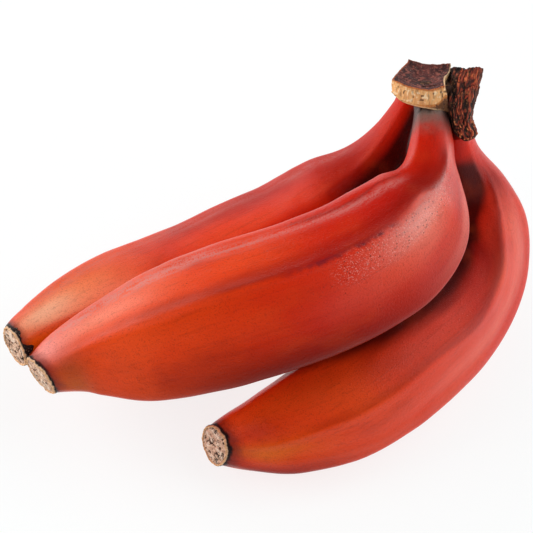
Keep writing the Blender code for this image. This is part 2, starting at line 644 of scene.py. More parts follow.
@dataclass
class Banana:
    """One fruit, from where its stalk enters the crown to its blossom scar.

    The axis starts at root along stalk and bends towards lean by the angles in bend, while sweep carries it
    sideways. The section is a soft five-sided figure whose corners are the ridges. Girth multiplies the
    radius that the three share, stub is how far the stalk runs on into the crown, and collar is how grey and
    black the peel is under the crown.
    """

    name: str
    root: tuple
    stalk: tuple
    lean: tuple
    length: float
    girth: float
    bend: tuple
    sweep: tuple
    scar_facing: tuple
    ridges: list[Ridge]
    swells: list[Swell] = field(default_factory=list)
    tints_and_painted_light: list[TintAndPaintedLight] = field(default_factory=list)
    shades: list[Shade] = field(default_factory=list)
    bloom_and_sheen: list[Dust] = field(default_factory=list)
    creases: list[Dust] = field(default_factory=list)
    worn_and_glinting: list[Dust] = field(default_factory=list)
    stub: float = 6.0
    collar: float = 0.0
    faceting: float = 0.7
    sharpness: float = 16.0
    scar_radius: float = 6.7
    seed: int = 1
    base: tuple = (222, 38, 10)

    BEND_AT = (0.0, 0.10, 0.22, 0.36, 0.52, 0.70, 0.86, 1.0)
    SWEEP_AT = (0.0, 0.25, 0.50, 0.75, 1.0)
    RADIUS_AT = (0.0, 0.07, 0.14, 0.22, 0.30, 0.40, 0.52, 0.66, 0.78, 0.87, 0.93, 0.975, 1.0)
    RADIUS = (5.25, 7.25, 10.0, 17.0, 19.75, 20.5, 20.75, 20.5, 18.25, 14.1, 11.0, 8.5, 6.7)
    STEPS = 384
    SIDES = 176
    STUB_RINGS = 10
    CREST_WIDTH = 7.0

    # From where along the fruit its rings start to turn the way that the scar faces.
    TURNS_FROM = 0.9

    # How high, and how far apart, the peel's soft lumps and its fine ripples are.
    LUMPS = (0.2, 14.0)
    RIPPLES = (0.035, (2.4, 2.4, 6.0))

    # The height at which the peel's underside is pressed flat, and how softly it rounds into that flat.
    REST = 0.1
    PRESS = 0.6

    def axis(self) -> tuple[Array, ...]:
        """The bent axis.

        Returns:
            Places along it from 0 to 1, its points, and its forward, outside and sideways directions.
        """
        along = np.linspace(0.0, 1.0, self.STEPS + 1)
        bend = np.radians(smooth(along, self.BEND_AT, self.bend))[:, None]
        sweep = np.radians(smooth(along, self.SWEEP_AT, self.sweep))[:, None]
        stalk = unit(self.stalk)
        lean = unit(self.lean - stalk * np.dot(self.lean, stalk))
        forward = np.cos(sweep) * (np.cos(bend) * stalk + np.sin(bend) * lean)
        forward = forward + np.sin(sweep) * np.cross(stalk, lean)
        steps = (forward[1:] + forward[:-1]) / 2 * self.length / self.STEPS
        points = np.vstack([np.zeros(3), np.cumsum(steps, axis=0)]) + self.root
        outside = np.sin(bend) * stalk - np.cos(bend) * lean
        return along, points, forward, outside, np.cross(forward, outside)

    def section(self, along: Array, around: Array) -> Array:
        """The radius as a share of the mean one: a soft five-sided figure.

        Five flats face the middles between neighbouring ridges. Each reaches the radius 1 over the cosine of
        the angle from its middle, and the nearest flat rules, softened by a high power. That is blended with
        a circle, the more so near the two ends.

        Args:
            along: each ring's place along the fruit, as a column.
            around: the angles round a ring, as a row.

        Returns:
            The share for each point.
        """
        angles = [ridge.at(along) for ridge in self.ridges]
        pull = np.zeros(np.broadcast(along, around).shape)
        for here, after in zip(angles, angles[1:] + angles[:1]):
            middle = here + ((after - here) % 360.0) / 2.0
            pull += np.maximum(np.cos(np.radians(around - middle)), 0.0) ** self.sharpness
        figure = pull ** (-1.0 / self.sharpness)
        figure = figure / figure.mean(axis=1, keepdims=True)
        strength = self.faceting * (0.5 + 0.5 * ease(along, 0.05, 0.3))
        strength = strength * (1.0 - 0.6 * ease(along, 0.85, 1.0))
        return 1.0 + strength * (figure - 1.0)

    def surface(self) -> tuple[Array, ...]:
        """The peel's rings: the section at its radius round each point of the axis.

        A narrow bell is added for each ridge's crest, then the swells and two noises, and each crease is
        taken off. At the end the peel is pressed flat underneath by half of a hyperbola.

        Returns:
            The rings of points, the place along and the angle of each, its place on the fruit as if it had
            grown straight, and its distance from the plane of the blossom scar.
        """
        along, points, forward, outside, _ = self.axis()
        around = np.arange(self.SIDES)[None, :] * 360.0 / self.SIDES
        s = along[:, None]
        mean = smooth(s, self.RADIUS_AT, self.RADIUS) * self.girth
        mean = mean + ease(s, 0.95, 1.0) * (self.scar_radius - self.RADIUS[-1] * self.girth)
        radius = mean * self.section(s, around)
        for ridge in self.ridges:
            crest = ridge.crest * hill(turn_between(around, ridge.at(s)), 0.0, self.CREST_WIDTH)
            radius = radius + crest * ease(s, 0.02, 0.2) * (1.0 - ease(s, 0.9, 1.0))
        for swell in self.swells:
            radius = radius + swell.over(s, around)
        turn = np.radians(around)
        grown = (mean * np.cos(turn), mean * np.sin(turn), s * self.length)
        grown = np.stack(np.broadcast_arrays(*grown), axis=-1)
        height, size = self.LUMPS
        radius = radius + height * noise(grown / size, self.seed, 2) * ease(s, 0.0, 0.2)
        height, size = self.RIPPLES
        radius = radius + height * noise(grown / size, self.seed + 3, 2)
        for crease in self.creases:
            radius = radius - crease.over(s, around)

        # Near the blossom end each ring turns into the plane of the scar, which isn't square to the axis.
        turned = ease(s, self.TURNS_FROM, 1.0)
        facing = unit(turned * unit(self.scar_facing) + (1.0 - turned) * forward)
        across = unit(outside - facing * np.sum(outside * facing, -1, keepdims=True))
        aside = np.cross(facing, across)
        spoke = np.cos(turn)[..., None] * across[:, None] + np.sin(turn)[..., None] * aside[:, None]
        rings = points[:, None] + radius[..., None] * spoke
        above = rings[..., 2] - self.REST
        rings[..., 2] = self.REST + (above + np.hypot(above, self.PRESS)) / 2

        # The stalk runs on straight into the crown.
        into = np.linspace(self.stub, self.stub / self.STUB_RINGS, self.STUB_RINGS)[:, None, None]
        sunk = rings[:1] - into * forward[0]
        grown = np.concatenate([np.repeat(grown[:1], self.STUB_RINGS, 0) - into * (0, 0, 1), grown])
        s = np.concatenate([np.repeat(s[:1], self.STUB_RINGS, 0) - into[:, 0] / self.length, s])
        rings = np.concatenate([sunk, rings])
        return rings, s, around, grown, (points[-1] - rings) @ unit(self.scar_facing)

    def paint(self, s: Array, around: Array, grown: Array, to_scar: Array) -> dict[Paint, Array]:
        """What the peel carries for its finish: coats of colour with painted light and shade, its bloom and
        sheen, its wear and glints.

        Args:
            s: the place along the fruit of each ring.
            around: the angle of each place round a ring.
            grown: each point's place on the straight fruit.
            to_scar: each point's distance from the plane of the blossom scar.

        Returns:
            The tint, the straight place, the bloom and sheen, and the wear and glints of each point.
        """
        cloud = noise(grown / 16.0, self.seed + 5, 3)
        streak = noise(grown / (6.0, 6.0, 30.0), self.seed + 7, 3)
        crumb = noise(grown / 1.6, self.seed + 9, 3)
        tint = coats(
            light_of(self.base),
            ((164, 16, 4), 0.2 + 0.14 * streak),
            ((240, 78, 18), 0.55 * ease(s, 0.35, 0.8) + 0.15 * cloud),
        )
        # Tints with painted highlights, then painted shade, laid over the peel.
        for patch in [*self.tints_and_painted_light, *self.shades]:
            tint = patch.over(tint, s + 0.012 * cloud, around + 4.0 * streak)
        for crease in self.creases:
            ragged = crease.over(s, around + 1.2 * crumb + 1.0 * cloud)
            tint = coats(tint, ((70, 24, 44), 2.2 * ragged * (0.75 + 0.5 * crumb)))

        # Under the crown the peel is grey and black, and round the scar it is dry and dark.
        ashen = 1.0 - ease(s + 0.012 * cloud + 0.006 * crumb, 0.005, 0.07)
        edges = hill(turn_between(around, 184.0), 0.0, 30.0) + hill(turn_between(around, 42.0), 0.0, 26.0)
        black = edges * (1.0 - ease(s + 0.01 * cloud, 0.01, 0.07))
        charred = 1.0 - ease(s + 0.01 * streak + 0.012 * crumb, -0.004, 0.012)
        dried = 1.0 - ease(to_scar + 0.7 * cloud + 0.5 * crumb, 0.6, 4.0)
        burnt = 1.0 - ease(to_scar + 0.35 * crumb + 0.2 * cloud, 0.35, 0.8)
        tint = coats(
            tint,
            ((112, 104, 94), self.collar * 0.95 * ashen),
            ((34, 28, 28), self.collar * black),
            ((40, 28, 26), self.collar * charred),
            ((112, 36, 30), 0.75 * dried),
            ((26, 17, 19), burnt),
        )

        # The bloom, partly painted sheen, and the wear, with its painted glints.
        bare = np.zeros(grown.shape[:2])
        bloom_and_sheen = sum((dust.over(s, around + 3.0 * cloud) for dust in self.bloom_and_sheen), bare)
        wear_and_glints = 0.25 + sum((dust.over(s, around) for dust in self.worn_and_glinting), bare)
        return {Paint.TINT: tint, Paint.GROWN: grown, Paint.BLOOM: bloom_and_sheen, Paint.WEAR: wear_and_glints}

    def build_peel(self) -> bpy.types.Object:
        """Makes the peel."""
        rings, *places = self.surface()
        return skin_over(f"{self.name}_peel", rings, self.paint(*places))

    def build_scar(self) -> bpy.types.Object:
        """Makes the dry scar that closes the blossom end, in the frame of the peel's last ring.

        Returns:
            The scar.
        """
        _, points, _, outside, _ = self.axis()
        facing = unit(self.scar_facing)
        across = unit(outside[-1] - facing * np.dot(outside[-1], facing))
        scar = Scar(
            name=f"{self.name}_blossom_scar",
            centre=points[-1],
            frame=np.array([across, np.cross(facing, across), facing]),
            radius=self.scar_radius,
            seed=self.seed + 40,
        )
        return scar.build()


@dataclass
class Scar:
    """The blossom scar: a disc of dry tan tissue with a raised rim, pits, cracks and a charred edge."""

    name: str
    centre: Array
    frame: Array
    radius: float
    seed: int
    SIDES = 176
    FACE_RINGS = 84
    EDGE_RINGS = 14
    PROUD = 0.5
    DEPTH = 3.6

    def build(self) -> bpy.types.Object:
        """Makes the disc: face rings out from the middle, then edge rings back into the peel.

        The face is almost flat, with a thin raised rim, a gap inside the rim, crumbly noise, pits where one
        noise falls under a level, and cracks along the lines where another crosses zero.

        Returns:
            The disc.
        """
        turn = round_turn(self.SIDES)
        out = np.linspace(0.02, 1.0, self.FACE_RINGS)[:, None]
        back = np.linspace(0.08, 1.0, self.EDGE_RINGS)[:, None]
        share = np.vstack([out, np.ones_like(back)])
        sunk = np.vstack([np.zeros_like(out), back])
        ragged = 1.0 + 0.035 * noise(self.round_points(turn, 2.4), self.seed, 2)
        ragged = ragged + 0.012 * noise(self.round_points(turn, 9.0), self.seed + 8, 2)
        radius = self.radius * 1.03 * share * ragged * (1.0 - 0.08 * sunk)
        flat = np.stack([radius * np.cos(turn), radius * np.sin(turn), sunk * 4.0 + 0 * turn], -1)
        coarse, fine = noise(flat / 1.5, self.seed + 1, 2), noise(flat / 0.5, self.seed + 2, 2)
        rim = hill(share, 0.93, 0.045)
        inside = ease(0.9 - share, 0.0, 0.08)
        pits = ease(-noise(flat / 0.95, self.seed + 3, 2), 0.3, 0.6) * inside
        veins = np.abs(noise(flat / 1.9, self.seed + 4, 2))
        cracks = (1.0 - ease(veins, 0.02, 0.1)) * ease(coarse, -0.5, 0.1) * inside
        gap = hill(share, 0.86, 0.03) * ease(coarse, -0.2, 0.3)
        height = self.PROUD * (1.0 - 0.9 * ease(share, 0.95, 1.0)) + 0.3 * rim + 0.25 * (1.0 - share**2)
        height = height + 0.16 * coarse + 0.1 * fine - 0.45 * pits - 0.4 * cracks - 0.35 * gap
        height = height - self.DEPTH * sunk
        place = flat[..., :2] @ self.frame[:2] + height[..., None] * self.frame[2] + self.centre

        tint = coats(
            light_of((236, 196, 168)),
            ((176, 128, 104), 0.35 + 0.7 * fine),
            ((250, 226, 204), 0.8 * ease(coarse + 0.5 * fine, 0.1, 0.6)),
            ((36, 20, 18), 0.95 * np.maximum(pits, cracks)),
            ((120, 78, 58), 0.7 * gap),
            ((232, 172, 112), 0.9 * rim),
            ((26, 18, 18), ease(share + 0.01 * coarse, 0.972, 0.99)),
            ((26, 18, 18), ease(sunk, 0.0, 0.1)),
        )
        return skin_over(self.name, place, {Paint.TINT: tint, Paint.GROWN: flat})

    @staticmethod
    def round_points(turn: Array, size: float) -> Array:
        """Points on a circle, for noise that meets itself after a full turn."""
        return np.stack([size * np.cos(turn), size * np.sin(turn), 0 * turn], -1)


# --------------------------------------------------------------------------------------------- the crown


@dataclass(frozen=True)
class CrownFrame:
    """The crown's own axes: across the hand, out over the front stalk, and up towards the cut."""

    centre: tuple = (38.9, 46.2, 76.1)
    across: tuple = (0.99, 0.10, 0.05)
    up: tuple = (-0.10, 0.46, 0.88)

    def to_world(self, places: Array) -> Array:
        """Turns places into the object's frame.

        Args:
            places: the places as (across, out, up).

        Returns:
            The same places as (x, y, z).
        """
        up = unit(self.up)
        across = unit(self.across - up * np.dot(self.across, up))
        return places @ np.array([across, np.cross(across, up), up]) + self.centre


def outline_through(sides: list[list[tuple]], per_side: tuple[int, ...]) -> Array:
    """A closed outline with a corner where two sides meet and a smooth curve along each side.

    Args:
        sides: for each side, its points from one corner to the next.
        per_side: how many points of the outline fall on each side.

    Returns:
        The outline's points in order.
    """
    run = []
    for points, count in zip(sides, per_side):
        points = np.array(points, float)
        chord = np.append(0.0, np.cumsum(np.linalg.norm(np.diff(points, axis=0), axis=1)))
        at = np.linspace(0.0, chord[-1], count, endpoint=False)
        run.append(np.stack([smooth(at, chord, points[:, k]) for k in range(points.shape[1])], -1))
    return np.vstack(run)


def push_out(places: Array, middle: Array, push: Array) -> None:
    """Moves each place by its push, level with the slab and away from the middle."""
    places[..., :2] += push[..., None] * unit(places[..., :2] - middle + 1e-9)


def aside_of(places: Array, middle: Array) -> Array:
    """How far each place of a ring is across it, from -1 at its left edge to 1 at its right."""
    off = (places - middle)[..., 0]
    return off / np.abs(off).max(axis=1, keepdims=True)


class Side(IntEnum):
    """The four sides of the cut slab, in the order that its outlines run."""

    BACK = 0
    RIGHT = 1
    FRONT = 2
    LEFT = 3


@dataclass
class CutBlock:
    """The part of the crown that was cut clean: a slab with a dished dark face and a tan fibrous edge."""

    frame: CrownFrame
    name: str = "crown_cut_block"
    seed: int = 90
    PER_SIDE = (70, 70, 120, 70)
    FACE_RINGS = 60
    EDGE_RINGS = 46
    UNDER_RINGS = 20
    TILT = -0.216
    HEIGHT = 15.9
    DISH = 2.2
    LIP = 0.9
    SAG = 1.1

    # The middle of the face as (across, out), and of the underside as (across, out, up).
    MIDDLE = (-4.5, 3.0)
    UNDER_MIDDLE = (-3.5, 2.0, 6.5)

    # At places across the slab, how far down its edge the clean band reaches.
    BAND = ((-14.0, -11.0, -5.0, -2.5, 0.4, 2.5), (0.9, 0.86, 0.79, 0.72, 0.58, 0.3))

    # Each side of the cut face, and of the slab's lower edge, as (across, out) and (across, out, up).
    FACE = [
        [(-8.7, -5.9), (-2.0, -5.6), (5.4, -4.9)],
        [(5.4, -4.9), (4.6, -0.5), (2.6, 3.8), (2.2, 9.2)],
        [(2.2, 9.2), (-2.7, 12.2), (-7.4, 12.1), (-11.1, 10.4), (-14.8, 6.9)],
        [(-14.8, 6.9), (-11.9, 0.3), (-8.7, -5.9)],
    ]
    FOOT = [
        [(-9.4, -9.0, 9.0), (-1.0, -8.0, 8.0), (5.0, -8.0, 7.0)],
        [(5.0, -8.0, 7.0), (4.6, 1.0, 6.0), (4.2, 9.6, 5.0)],
        [(4.2, 9.6, 5.0), (-2.9, 12.6, 6.7), (-7.7, 12.7, 7.5), (-11.8, 11.2, 8.5), (-14.3, 8.0, 10.2)],
        [(-14.3, 8.0, 10.2), (-12.4, 0.4, 9.6), (-9.4, -9.0, 9.0)],
    ]

    def build(self) -> bpy.types.Object:
        """Makes the slab: rings out over the face, down the edge, and in under the slab.

        Each ring of the face is the outline shrunk towards the middle. The face tilts down to the front, is
        dished by a parabola, and at the back has a lip that sags. The edge runs straight from outline to
        outline with a slight bulge, and the underside shrinks in and falls towards its own middle.

        Returns:
            The slab.
        """
        face = outline_through(self.FACE, self.PER_SIDE)
        foot = outline_through(self.FOOT, self.PER_SIDE)
        side = np.repeat(list(Side), self.PER_SIDE)[None, :]
        back = side == Side.BACK
        out = np.linspace(0.02, 1.0, self.FACE_RINGS)[:, None]
        over = self.MIDDLE + out[..., None] * (face - self.MIDDLE)
        rise = self.HEIGHT + self.TILT * over[..., 1] - self.DISH * (1.0 - out**2)
        rise = rise + self.LIP * hill(out, 0.97, 0.09) * back
        rise = rise - self.SAG * out**3 * back * (1.0 - ((over[..., 0] + 1.8) / 7.2) ** 2)
        top = np.concatenate([over, rise[..., None]], -1)

        down = np.linspace(0.0, 1.0, self.EDGE_RINGS + 1)[1:, None]
        wall = top[-1:] * (1.0 - down[..., None]) + foot * down[..., None]
        bulge = 0.35 * np.sin(np.pi * down) + 0.45 * hill(down, 0.93, 0.05)
        wall[..., :2] += bulge[..., None] * unit(wall[..., :2] - self.MIDDLE)

        inward = np.linspace(0.0, CAP_REACH, self.UNDER_RINGS + 1)[1:, None]
        share = inward[..., None]
        under = wall[-1:] * (1.0 - share) + (self.UNDER_MIDDLE - (0, 0, 1.0) * share) * share
        places = np.concatenate([top, wall, under])

        zone = np.concatenate([out - 1.0, down, 1.0 + inward]) + 0 * side
        places, tint = self.roughen(places, zone, side)
        world = self.frame.to_world(places)
        return skin_over(self.name, world, {Paint.TINT: tint, Paint.GROWN: places})

    def roughen(self, places: Array, zone: Array, side: Array) -> tuple[Array, ...]:
        """Gives the slab its small relief and its colours.

        Args:
            places: the slab's points as (across, out, up).
            zone: -1 to 0 from the middle of the face to its rim, 0 to 1 down the edge, 1 to 2 under it.
            side: the Side that each place round the slab belongs to.

        Returns:
            The points moved by cracks, fibres and crumbs, and the tint of each.
        """
        coarse = noise(places / 3.0, self.seed, 3)
        fine = noise(places / 0.7, self.seed + 1, 2)
        fibres = noise(places / (0.5, 0.5, 4.0), self.seed + 2, 2)
        on_face = zone <= 0
        on_edge = (zone > 0) & (zone <= 1)
        lift = np.where(on_face, 0.22 * coarse + 0.10 * fine, 0.0)
        push = np.where(on_edge, 0.1 * fibres + 0.1 * fine + 0.1 * coarse, 0.0)
        moved = places + lift[..., None] * (0, 0, 1)
        push_out(moved, self.MIDDLE, push)

        back, right, left = side == Side.BACK, side == Side.RIGHT, side == Side.LEFT
        rim = ease(zone + 0.02 * coarse, -0.05, -0.012) * on_face
        dark = coats(
            light_of((104, 54, 50)),
            ((62, 36, 36), 0.5 + 0.8 * coarse),
            ((158, 88, 74), 0.8 * ease(fine, 0.15, 0.7)),
            ((196, 96, 44), rim * np.where(left | (side == Side.FRONT), 0.9, 0.5)),
            # A cream rim on the right: tan cut wood, partly a painted highlight.
            ((242, 204, 158), 0.9 * rim * right),
        )

        # The clean tan band is a crescent: below its lower edge it is darker, down to a pale rim. The right
        # side has a cream edge, tan cut wood partly painted as a highlight, with painted shade under it; the
        # back is dark all over.
        across = places[..., 0]
        past = zone - held(across, *self.BAND)
        pale = hill(zone, 0.94, 0.03) * (1.0 - ease(across, -1.0, 3.0))
        holes = ease(-noise(places / 0.8, self.seed + 5, 1), 0.55, 0.75)
        tan = coats(
            light_of((246, 188, 124)),
            ((204, 132, 76), 0.2 + 0.4 * fibres),
            ((255, 228, 186), 0.8 * ease(fine, 0.2, 0.7)),
            ((186, 96, 40), 0.85 * (1 - ease(zone + 0.03 * coarse, 0.03, 0.12))),
            ((196, 116, 52), 0.9 * ease(past + 0.03 * coarse + 0.02 * fine, 0.0, 0.05)),
            ((70, 42, 26), 0.85 * ease(past + 0.06 * coarse, 0.08, 0.22)),
            ((246, 208, 158), 0.85 * pale),
            ((60, 34, 22), 0.8 * holes),
            ((246, 212, 164), 0.9 * right * (1.0 - ease(zone, 0.03, 0.08))),
            ((36, 24, 22), 0.92 * right * ease(zone, 0.06, 0.16)),
            ((66, 42, 36), 0.8 * back),
        )
        tint = np.where((zone > 0)[..., None], tan, dark)
        return moved, coats(tint, ((30, 20, 18), ease(zone + 0.02 * coarse, 0.975, 1.0)))


@dataclass
class Bark:
    """The torn side of the crown: a strip of dark fibrous bark that hangs between two stalks."""

    frame: CrownFrame
    name: str = "crown_bark"
    seed: int = 120
    SIDES = 260
    RINGS = 150
    FOOT_RINGS = 8
    CAP_RINGS = 30
    SQUARENESS = 3.2

    # At these heights up the crown: its left and right edges, and how far it reaches back and out.
    HEIGHTS = (-3.1, -2.0, 0.0, 3.0, 6.0, 9.0, 12.0, 15.0, 17.6, 18.6)
    LEFT = (9.0, 7.4, 6.0, 4.5, 3.6, 3.1, 3.3, 3.9, 4.7, 5.1)
    RIGHT = (12.0, 13.6, 13.8, 12.7, 12.8, 13.6, 14.3, 14.9, 15.3, 15.2)
    BACK = (9.0, 6.4, 2.0, -8.5, -11.0, -12.0, -12.0, -11.5, -10.5, -10.0)
    FRONT = (12.6, 13.5, 13.8, 13.3, 12.6, 10.9, 8.6, 5.8, 2.9, 1.6)
    FALL = 0.5
    HOLLOW = 1.3
    FOOT_DROOP = 0.7
    CAP_DISH = 1.0

    def ragged_top(self, places: Array) -> Array:
        """How far the torn top stands up: higher at the right, a dip near the middle, and torn fibres.

        Args:
            places: the strip's points as (across, out, up).

        Returns:
            The rise at each point.
        """
        across = places[..., 0]
        fibres = noise(places / (0.9, 9.0, 9.0), self.seed + 11, 2)
        return 0.9 * ease(across, 10.0, 14.5) - 0.8 * hill(across, 8.6, 2.0) + 0.5 * fibres

    def build(self) -> bpy.types.Object:
        """Makes the strip: squared-off outlines stacked up its height, and a top that falls to the back.

        Towards the top each outline is sheared downwards at the back by the fall, and the front is hollowed
        across its width like a gutter. Long cords and threads of noise are then added outwards.

        Returns:
            The strip.
        """
        up = np.linspace(self.HEIGHTS[0], self.HEIGHTS[-1], self.RINGS)[:, None]
        left, right, back, front = (
            smooth(up, self.HEIGHTS, edge) for edge in (self.LEFT, self.RIGHT, self.BACK, self.FRONT)
        )
        turn = round_turn(self.SIDES)
        blunt = squared_off(turn, self.SQUARENESS)
        aside = blunt * np.cos(turn)
        across = (left + right) / 2 + (right - left) / 2 * aside
        out = (front + back) / 2 - (front - back) / 2 * blunt * np.sin(turn)
        facing = ease(-np.sin(turn), 0.2, 0.8)
        out = out - self.HOLLOW * facing * (1.0 - aside**2) * ease(up, -1.0, 3.0)
        raised = up + self.FALL * ease(up, 8.0, 16.0) * (out - front)
        walls = np.stack([across, out, raised], -1)
        foot = np.linspace(0.1, 0.9, self.FOOT_RINGS)[:, None, None]
        bottom = walls[0].mean(0) * (1 - foot) + walls[:1] * foot - (0, 0, self.FOOT_DROOP) * (1 - foot**2)
        inward = np.linspace(0.0, CAP_REACH, self.CAP_RINGS + 1)[1:, None, None]
        top = walls[-1:] * (1 - inward) + walls[-1].mean(0) * inward
        top = top - (0, 0, self.CAP_DISH) * np.sin(np.pi / 2 * np.minimum(inward * 1.6, 1.0))
        places = np.concatenate([bottom, walls, top])

        # The grain follows the strip: it counts across from its middle and out from its front.
        middle = places.mean(axis=1, keepdims=True)
        height = places[..., 2]
        shape = held(places[..., 2:], self.HEIGHTS, self.FRONT)
        grain = places - (1.0, 0.0, 0.0) * middle - (0.0, 1.0, 0.0) * shape
        bent = grain + 1.1 * np.stack([noise(grain / 4.5, self.seed + 20 + k, 2) for k in range(3)], -1)
        cords = noise(bent / (1.1, 1.1, 3.8), self.seed, 3)
        threads = noise(bent / (0.45, 0.45, 1.6), self.seed + 1, 2)
        lumps = noise(grain / 2.4, self.seed + 2, 3)
        crumbs = noise(grain / (0.5, 0.5, 0.9), self.seed + 6, 2)
        gullies = 1.0 - ease(np.abs(noise(bent / (2.2, 2.2, 8.0), self.seed + 4, 3)), 0.0, 0.1)
        push = 0.4 * cords + 0.2 * threads + 0.3 * lumps - 0.55 * gullies + 0.1 * crumbs
        moved = places.copy()
        push_out(moved, middle[..., :2], push)
        moved[..., 2] += 0.2 * lumps + 0.5 * self.ragged_top(places) * ease(height, 14.0, 18.0)

        low = 1.0 - ease(height, 0.0, 7.0)
        off = aside_of(places, middle)
        tint = coats(
            light_of((70, 38, 32)),
            ((150, 58, 40), ease(threads + 0.8 * cords, -0.05, 0.5)),
            ((220, 112, 66), 0.8 * ease(threads, 0.3, 0.65) * ease(cords, -0.1, 0.4)),
            ((30, 20, 19), 0.9 * ease(-cords - 0.6 * threads, 0.05, 0.45)),
            ((20, 14, 14), 0.95 * gullies),
            ((240, 156, 96), ease(crumbs, 0.5, 0.7) * (0.2 + 0.6 * low)),
            # The right edge a little lighter, and the left edge, below the cut slab, painted in shade.
            ((92, 58, 44), 0.7 * ease(off, 0.8, 1.0) * ease(height, 6.0, 10.0)),
            ((26, 18, 18), 0.85 * ease(-off, 0.62, 0.9)),
        )
        return skin_over(self.name, self.frame.to_world(moved), {Paint.TINT: tint, Paint.GROWN: grain})


@dataclass
class CrownHeart:
    """The body of the crown behind and under the cut, where the stalks run together."""

    frame: CrownFrame
    name: str = "crown_heart"
    seed: int = 150
    SIDES = 200
    RINGS = 110
    CAP_RINGS = 12
    SQUARENESS = 3.0

    # Each outline's height, middle across, middle out, half width and half depth.
    OUTLINES = (
        (-1.5, 9.0, 2.0, 2.0, 3.0),
        (1.0, 8.0, -1.5, 5.4, 7.4),
        (4.5, 4.0, -4.6, 9.6, 10.0),
        (8.0, 0.8, -3.4, 12.6, 10.0),
        (11.0, 0.3, -3.0, 13.4, 9.2),
        (12.6, 0.6, -3.0, 12.4, 8.2),
        (13.2, 0.9, -3.0, 10.5, 6.8),
    )

    def build(self) -> bpy.types.Object:
        """Makes the body: squared-off ellipses stacked along the crown, roughened by fibres.

        Returns:
            The body.
        """
        heights, across, out, width, depth = np.array(self.OUTLINES).T
        up = np.linspace(heights[0], heights[-1], self.RINGS)[:, None]
        turn = round_turn(self.SIDES)
        blunt = squared_off(turn, self.SQUARENESS)
        x = smooth(up, heights, across) + smooth(up, heights, width) * blunt * np.cos(turn)
        y = smooth(up, heights, out) - smooth(up, heights, depth) * blunt * np.sin(turn)
        walls = np.stack([x, y, up + 0 * turn], -1)
        inward = np.linspace(0.1, 0.95, self.CAP_RINGS)[:, None, None]
        top = walls[-1:] * (1 - inward) + walls[-1].mean(0) * inward
        bottom = walls[0].mean(0) * (1 - inward) + walls[:1] * inward
        places = np.concatenate([bottom, walls, top])
        cords = noise(places / (1.6, 1.6, 8.0), self.seed, 3)
        fine = noise(places / 0.8, self.seed + 1, 2)
        moved = places.copy()
        push_out(moved, places.mean(axis=1, keepdims=True)[..., :2], 0.3 * cords + 0.12 * fine)
        tint = coats(
            light_of((96, 62, 48)),
            ((46, 30, 26), 0.6 + 0.7 * cords),
            ((168, 118, 78), 0.7 * ease(cords + 0.5 * fine, 0.35, 0.9)),
            ((104, 40, 30), 0.6 * (1 - ease(places[..., 2], 2.0, 8.0))),
        )
        return skin_over(self.name, self.frame.to_world(moved), {Paint.TINT: tint, Paint.GROWN: places})


# ------------------------------------------------------------------------------------------ the setting


@dataclass(frozen=True)
class Softbox:
    """A flat light: its place and size in metres, its power, and whether the peel's shine shows it."""

    name: str
    place: tuple
    size: tuple
    watts: float
    mirrored: bool = True

    def hang(self, target: tuple) -> None:
        """Hangs the light so that it faces the target.

        Args:
            target: the point that it faces, in metres.
        """
        data = bpy.data.lights.new(self.name, "AREA")
        data.shape, data.size, data.size_y = "RECTANGLE", *self.size
        data.energy = self.watts
        light = bpy.data.objects.new(self.name, data)
        light.visible_glossy = self.mirrored
        light.location = self.place
        light.rotation_mode = "QUATERNION"
        light.rotation_quaternion = (Vector(target) - Vector(self.place)).to_track_quat("-Z", "Y")
        bpy.context.scene.collection.objects.link(light)


